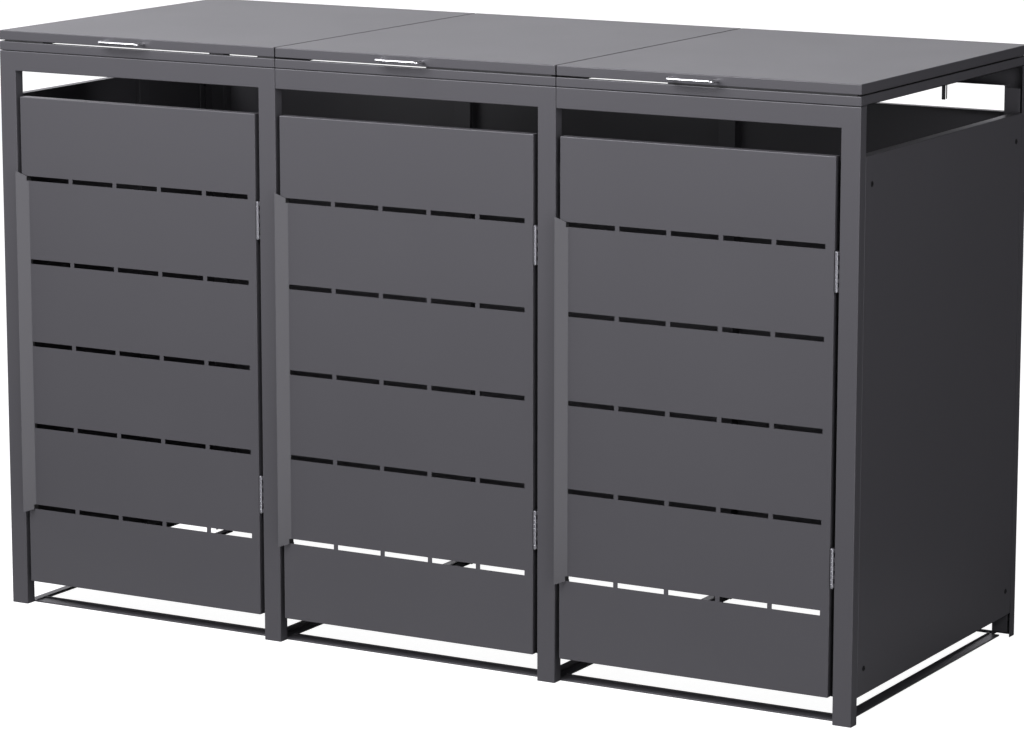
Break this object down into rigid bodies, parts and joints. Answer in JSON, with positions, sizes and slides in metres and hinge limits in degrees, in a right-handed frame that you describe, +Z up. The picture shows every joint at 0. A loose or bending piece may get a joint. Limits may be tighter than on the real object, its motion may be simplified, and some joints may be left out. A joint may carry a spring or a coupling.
{
  "type": "wheelie bin store",
  "caption": "Sheet-metal store for wheelie bins side by side, with hinged slotted doors and separately hinged lids over a powder-coated post frame.",
  "frame": {"origin": "middle of the base at ground level", "axes": "+Z up, +X along the row of doors towards the right as seen from the front, +Y from the doors towards the back"},
  "size_m": [1.996, 0.8482, 1.238],
  "materials": {
    "powder_coat": "fine satin anthracite powder coat on folded steel sheet",
    "handle_steel": "brushed stainless rod",
    "hinge_steel": "plain satin steel",
    "dark_bolts": "black low-head bolts",
    "zinc_bolts": "zinc-plated",
    "hook_steel": "dark coated steel",
    "magnet": "dull grey magnet block",
    "rubber": "black rubber"
  },
  "bodies": {
    "frame": {"front_post_left": "powder_coat", "front_post_mid_left": "powder_coat", "front_post_mid_right": "powder_coat", "front_post_right": "powder_coat", "back_post_left": "powder_coat", "back_post_mid_left": "powder_coat", "back_post_mid_right": "powder_coat", "back_post_right": "powder_coat", "front_header_left": "powder_coat", "front_header_middle": "powder_coat", "front_header_right": "powder_coat", "back_header_left": "powder_coat", "back_header_middle": "powder_coat", "back_header_right": "powder_coat", "front_top_rail_left": "powder_coat", "front_top_rail_middle": "powder_coat", "front_top_rail_right": "powder_coat", "back_top_rail_left": "powder_coat", "back_top_rail_middle": "powder_coat", "back_top_rail_right": "powder_coat", "back_panel_left": "powder_coat", "back_panel_middle": "powder_coat", "back_panel_right": "powder_coat", "rail_plates": "rubber", "side_top_rail_left": "powder_coat", "side_top_rail_right": "powder_coat", "cross_top_rails": "powder_coat", "side_panel_left": "powder_coat", "side_panel_right": "powder_coat", "side_panel_strips": "powder_coat", "side_panel_bolts": "dark_bolts", "side_panel_ribs": "powder_coat", "front_floor_strips": "powder_coat", "back_floor_strips": "powder_coat", "side_floor_strips": "powder_coat", "cross_floor_strips": "powder_coat", "foot_bolts": "zinc_bolts", "frame_hinge_leaves": "hinge_steel", "door_hinge_pins": "hinge_steel", "catch_brackets": "powder_coat", "catch_magnets": "magnet", "back_hinge_leaves": "hinge_steel", "lid_hinge_pins": "hinge_steel", "lid_rests": "rubber", "strap_hooks": "hook_steel"},
    "door_left": {"door_left": "powder_coat", "door_hinge_leaves_left": "hinge_steel"},
    "door_middle": {"door_middle": "powder_coat", "door_hinge_leaves_middle": "hinge_steel"},
    "door_right": {"door_right": "powder_coat", "door_hinge_leaves_right": "hinge_steel"},
    "lid_left": {"lid_left": "powder_coat", "lid_handle_left": "handle_steel", "lid_hinge_leaves_left": "hinge_steel"},
    "lid_middle": {"lid_middle": "powder_coat", "lid_handle_middle": "handle_steel", "lid_hinge_leaves_middle": "hinge_steel"},
    "lid_right": {"lid_right": "powder_coat", "lid_handle_right": "handle_steel", "lid_hinge_leaves_right": "hinge_steel"}
  },
  "joints": [
    {"name": "door_left_swing", "type": "hinge", "parent": "frame", "child": "door_left", "pos_m": [-0.35, -0.3943, 0.595], "axis": [0, 0, 1], "range_deg": [0, 120]},
    {"name": "door_middle_swing", "type": "hinge", "parent": "frame", "child": "door_middle", "pos_m": [0.3, -0.3943, 0.595], "axis": [0, 0, 1], "range_deg": [0, 120]},
    {"name": "door_right_swing", "type": "hinge", "parent": "frame", "child": "door_right", "pos_m": [0.95, -0.3943, 0.595], "axis": [0, 0, 1], "range_deg": [0, 120]},
    {"name": "lid_left_lift", "type": "hinge", "parent": "frame", "child": "lid_left", "pos_m": [-0.6508, 0.4207, 1.2165], "axis": [-1, 0, 0], "range_deg": [0, 100]},
    {"name": "lid_middle_lift", "type": "hinge", "parent": "frame", "child": "lid_middle", "pos_m": [0.02, 0.4207, 1.2165], "axis": [-1, 0, 0], "range_deg": [0, 100]},
    {"name": "lid_right_lift", "type": "hinge", "parent": "frame", "child": "lid_right", "pos_m": [0.6707, 0.4207, 1.2165], "axis": [-1, 0, 0], "range_deg": [0, 100]}
  ]
}
